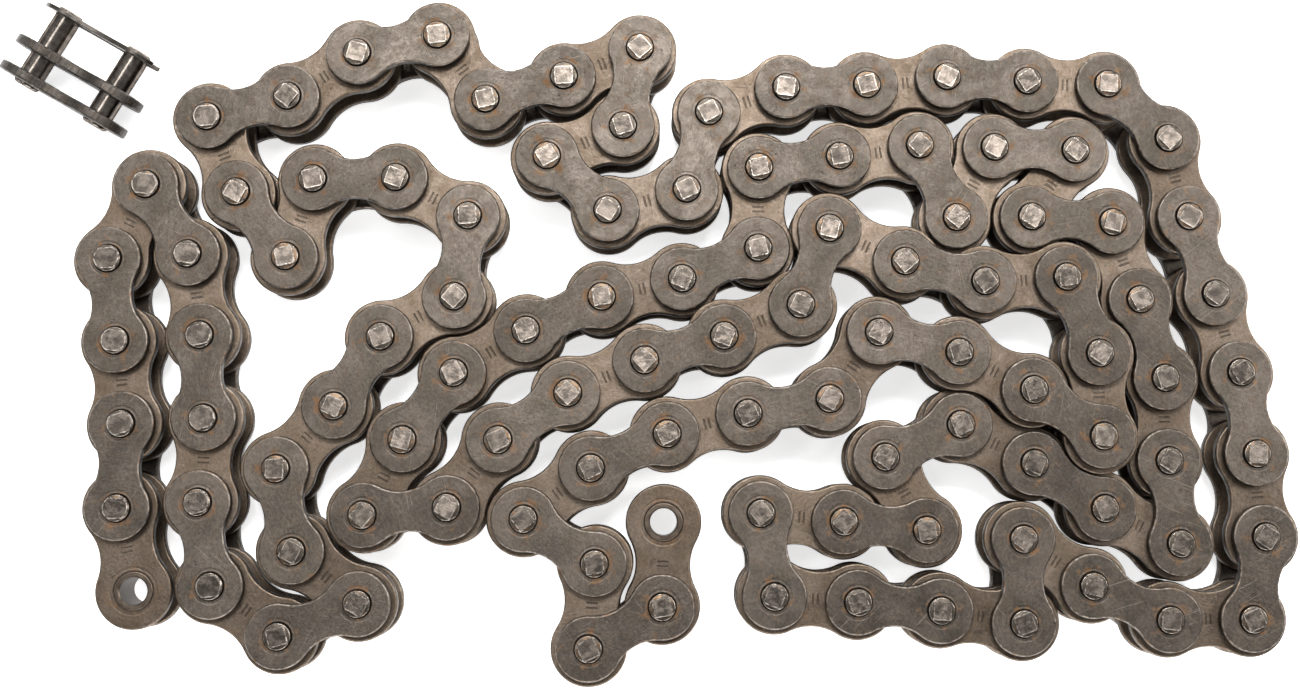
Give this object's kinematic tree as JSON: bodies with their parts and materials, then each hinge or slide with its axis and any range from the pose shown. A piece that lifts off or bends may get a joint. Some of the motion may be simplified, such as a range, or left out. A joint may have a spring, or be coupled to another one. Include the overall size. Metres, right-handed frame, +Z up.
{
  "type": "motorcycle roller chain",
  "caption": "Motorcycle drive chain lying on its side in folded strands, with its loose clip-type connecting link beside it.",
  "frame": {"origin": "bottom centre of the whole lay, on the surface it rests on", "axes": "+X to the right along the lay, the longest way; +Y away across the lay; +Z up, along the chain pins"},
  "size_m": [0.2542, 0.134, 0.0197],
  "materials": {
    "outer_plate_steel": "dark heat-treated, tumbled",
    "inner_plate_steel": "warm grey, tumbled",
    "bushing_steel": "ground",
    "roller_steel": "dark, satin",
    "pin_steel": "ground, riveted tips",
    "connecting_pin_steel": "polished",
    "clip_steel": "spring steel, satin"
  },
  "bodies": {
    "main_run": {"run_inner_plates_lower": "inner_plate_steel", "run_inner_plates_upper": "inner_plate_steel", "run_bushings": "bushing_steel", "run_rollers": "roller_steel", "run_outer_plates_lower": "outer_plate_steel", "run_outer_plates_upper": "outer_plate_steel", "run_pins": "pin_steel"},
    "a_span": {"a_span_inner_plates": "inner_plate_steel", "a_span_bushings": "bushing_steel", "a_span_rollers": "roller_steel", "a_span_outer_plates": "outer_plate_steel", "a_span_pins": "pin_steel"},
    "a_link_1": {"a_link_1_inner_plates": "inner_plate_steel", "a_link_1_bushings": "bushing_steel"},
    "a_link_3": {"a_link_3_inner_plates": "inner_plate_steel", "a_link_3_bushings": "bushing_steel"},
    "a_link_5": {"a_link_5_inner_plates": "inner_plate_steel", "a_link_5_bushings": "bushing_steel"},
    "a_link_11": {"a_link_11_inner_plates": "inner_plate_steel", "a_link_11_bushings": "bushing_steel"},
    "a_link_2": {"a_link_2_outer_plates": "outer_plate_steel", "a_link_2_pins": "pin_steel"},
    "a_link_4": {"a_link_4_outer_plates": "outer_plate_steel", "a_link_4_pins": "pin_steel"},
    "a_link_6": {"a_link_6_outer_plates": "outer_plate_steel", "a_link_6_pins": "pin_steel"},
    "a_link_12": {"a_link_12_outer_plates": "outer_plate_steel", "a_link_12_pins": "pin_steel"},
    "b_link_1": {"b_link_1_inner_plates": "inner_plate_steel", "b_link_1_bushings": "bushing_steel"},
    "b_link_3": {"b_link_3_inner_plates": "inner_plate_steel", "b_link_3_bushings": "bushing_steel"},
    "b_link_5": {"b_link_5_inner_plates": "inner_plate_steel", "b_link_5_bushings": "bushing_steel"},
    "b_link_2": {"b_link_2_outer_plates": "outer_plate_steel", "b_link_2_pins": "pin_steel"},
    "b_link_4": {"b_link_4_outer_plates": "outer_plate_steel", "b_link_4_pins": "pin_steel"},
    "b_link_6": {"b_link_6_outer_plates": "outer_plate_steel", "b_link_6_pins": "pin_steel"},
    "a_roller_1_1": {"a_link_1_roller_1": "roller_steel"},
    "a_roller_1_2": {"a_link_1_roller_2": "roller_steel"},
    "a_roller_3_1": {"a_link_3_roller_1": "roller_steel"},
    "a_roller_3_2": {"a_link_3_roller_2": "roller_steel"},
    "a_roller_5_1": {"a_link_5_roller_1": "roller_steel"},
    "a_roller_5_2": {"a_link_5_roller_2": "roller_steel"},
    "a_roller_11_1": {"a_link_11_roller_1": "roller_steel"},
    "a_roller_11_2": {"a_link_11_roller_2": "roller_steel"},
    "b_roller_1_1": {"b_link_1_roller_1": "roller_steel"},
    "b_roller_1_2": {"b_link_1_roller_2": "roller_steel"},
    "b_roller_3_1": {"b_link_3_roller_1": "roller_steel"},
    "b_roller_3_2": {"b_link_3_roller_2": "roller_steel"},
    "b_roller_5_1": {"b_link_5_roller_1": "roller_steel"},
    "b_roller_5_2": {"b_link_5_roller_2": "roller_steel"},
    "connecting_link": {"connecting_pin_plate": "outer_plate_steel", "connecting_pins": "connecting_pin_steel"},
    "connecting_cover": {"cover_plate": "outer_plate_steel"},
    "connecting_clip": {"spring_clip": "clip_steel"}
  },
  "joints": [
    {"name": "a_link_12_hinge", "type": "hinge", "parent": "main_run", "child": "a_link_12", "pos_m": [-0.05285, -0.05117, 0.0087], "axis": [0, 0, 1], "range_deg": [0, 115]},
    {"name": "a_link_11_hinge", "type": "hinge", "parent": "a_link_12", "child": "a_link_11", "pos_m": [-0.06757, -0.05712, 0.0087], "axis": [0, 0, -1], "range_deg": [-115, 0]},
    {"name": "a_span_hinge", "type": "hinge", "parent": "a_link_11", "child": "a_span", "pos_m": [-0.08042, -0.04779, 0.0087], "axis": [0, 0, 1], "range_deg": [0, 78]},
    {"name": "a_link_6_hinge", "type": "hinge", "parent": "a_span", "child": "a_link_6", "pos_m": [-0.08648, 0.01518, 0.0087], "axis": [0, 0, -1], "range_deg": [0, 8]},
    {"name": "a_link_5_hinge", "type": "hinge", "parent": "a_link_6", "child": "a_link_5", "pos_m": [-0.09489, 0.02864, 0.0087], "axis": [0, 0, 1], "range_deg": [-78, 0]},
    {"name": "a_link_4_hinge", "type": "hinge", "parent": "a_link_5", "child": "a_link_4", "pos_m": [-0.1016, 0.01425, 0.0087], "axis": [0, 0, -1], "range_deg": [0, 120]},
    {"name": "a_link_3_hinge", "type": "hinge", "parent": "a_link_4", "child": "a_link_3", "pos_m": [-0.09967, -0.0015, 0.0087], "axis": [0, 0, 1], "range_deg": [-118, 0]},
    {"name": "a_link_2_hinge", "type": "hinge", "parent": "a_link_3", "child": "a_link_2", "pos_m": [-0.09801, -0.01729, 0.0087], "axis": [0, 0, -1], "range_deg": [0, 112]},
    {"name": "a_link_1_hinge", "type": "hinge", "parent": "a_link_2", "child": "a_link_1", "pos_m": [-0.09829, -0.03316, 0.0087], "axis": [0, 0, 1], "range_deg": [-120, 0]},
    {"name": "b_link_6_hinge", "type": "hinge", "parent": "main_run", "child": "b_link_6", "pos_m": [0.0054, -0.01948, 0.00993], "axis": [0, 0, 1], "range_deg": [0, 8]},
    {"name": "b_link_5_hinge", "type": "hinge", "parent": "b_link_6", "child": "b_link_5", "pos_m": [-0.00911, -0.02593, 0.00972], "axis": [0, 0, -1], "range_deg": [-6, 0]},
    {"name": "b_link_4_hinge", "type": "hinge", "parent": "b_link_5", "child": "b_link_4", "pos_m": [-0.02178, -0.03549, 0.00952], "axis": [0, 0, 1], "range_deg": [-62, 3]},
    {"name": "b_link_3_hinge", "type": "hinge", "parent": "b_link_4", "child": "b_link_3", "pos_m": [-0.00832, -0.0439, 0.00932], "axis": [0, 0, -1], "range_deg": [-8, 58]},
    {"name": "b_link_2_hinge", "type": "hinge", "parent": "b_link_3", "child": "b_link_2", "pos_m": [-0.00943, -0.05974, 0.00911], "axis": [0, 0, 1], "range_deg": [-10, 0]},
    {"name": "b_link_1_hinge", "type": "hinge", "parent": "b_link_2", "child": "b_link_1", "pos_m": [0.00446, -0.05204, 0.0089], "axis": [0, 0, 1], "range_deg": [-12, 0]},
    {"name": "a_roller_1_1_spin", "type": "hinge", "parent": "a_link_1", "child": "a_roller_1_1", "pos_m": [-0.09526, -0.04875, 0.0087], "axis": [0, 0, 1], "continuous": true},
    {"name": "a_roller_1_2_spin", "type": "hinge", "parent": "a_link_1", "child": "a_roller_1_2", "pos_m": [-0.09829, -0.03316, 0.0087], "axis": [0, 0, 1], "continuous": true},
    {"name": "a_roller_3_1_spin", "type": "hinge", "parent": "a_link_3", "child": "a_roller_3_1", "pos_m": [-0.09801, -0.01729, 0.0087], "axis": [0, 0, 1], "continuous": true},
    {"name": "a_roller_3_2_spin", "type": "hinge", "parent": "a_link_3", "child": "a_roller_3_2", "pos_m": [-0.09967, -0.0015, 0.0087], "axis": [0, 0, 1], "continuous": true},
    {"name": "a_roller_5_1_spin", "type": "hinge", "parent": "a_link_5", "child": "a_roller_5_1", "pos_m": [-0.1016, 0.01425, 0.0087], "axis": [0, 0, 1], "continuous": true},
    {"name": "a_roller_5_2_spin", "type": "hinge", "parent": "a_link_5", "child": "a_roller_5_2", "pos_m": [-0.09489, 0.02864, 0.0087], "axis": [0, 0, 1], "continuous": true},
    {"name": "a_roller_11_1_spin", "type": "hinge", "parent": "a_link_11", "child": "a_roller_11_1", "pos_m": [-0.08042, -0.04779, 0.0087], "axis": [0, 0, 1], "continuous": true},
    {"name": "a_roller_11_2_spin", "type": "hinge", "parent": "a_link_11", "child": "a_roller_11_2", "pos_m": [-0.06757, -0.05712, 0.0087], "axis": [0, 0, 1], "continuous": true},
    {"name": "b_roller_1_1_spin", "type": "hinge", "parent": "b_link_1", "child": "b_roller_1_1", "pos_m": [0.00446, -0.05204, 0.0089], "axis": [0, 0, 1], "continuous": true},
    {"name": "b_roller_1_2_spin", "type": "hinge", "parent": "b_link_1", "child": "b_roller_1_2", "pos_m": [0.00473, -0.03617, 0.0089], "axis": [0, 0, 1], "continuous": true},
    {"name": "b_roller_3_1_spin", "type": "hinge", "parent": "b_link_3", "child": "b_roller_3_1", "pos_m": [-0.00832, -0.0439, 0.00932], "axis": [0, 0, 1], "continuous": true},
    {"name": "b_roller_3_2_spin", "type": "hinge", "parent": "b_link_3", "child": "b_roller_3_2", "pos_m": [-0.00943, -0.05974, 0.00932], "axis": [0, 0, 1], "continuous": true},
    {"name": "b_roller_5_1_spin", "type": "hinge", "parent": "b_link_5", "child": "b_roller_5_1", "pos_m": [-0.00911, -0.02593, 0.00972], "axis": [0, 0, 1], "continuous": true},
    {"name": "b_roller_5_2_spin", "type": "hinge", "parent": "b_link_5", "child": "b_roller_5_2", "pos_m": [-0.02178, -0.03549, 0.00972], "axis": [0, 0, 1], "continuous": true},
    {"name": "connecting_link_lift", "type": "slide", "parent": "main_run", "child": "connecting_link", "axis": [0, 0, 1], "range_m": [0, 0.04]},
    {"name": "cover_plate_slide", "type": "slide", "parent": "connecting_link", "child": "connecting_cover", "axis": [0.5, 0.866, 0], "range_m": [-0.0039, 0.007]},
    {"name": "spring_clip_slide", "type": "slide", "parent": "connecting_link", "child": "connecting_clip", "axis": [-0.866, 0.5, 0], "range_m": [0, 0.024]}
  ]
}
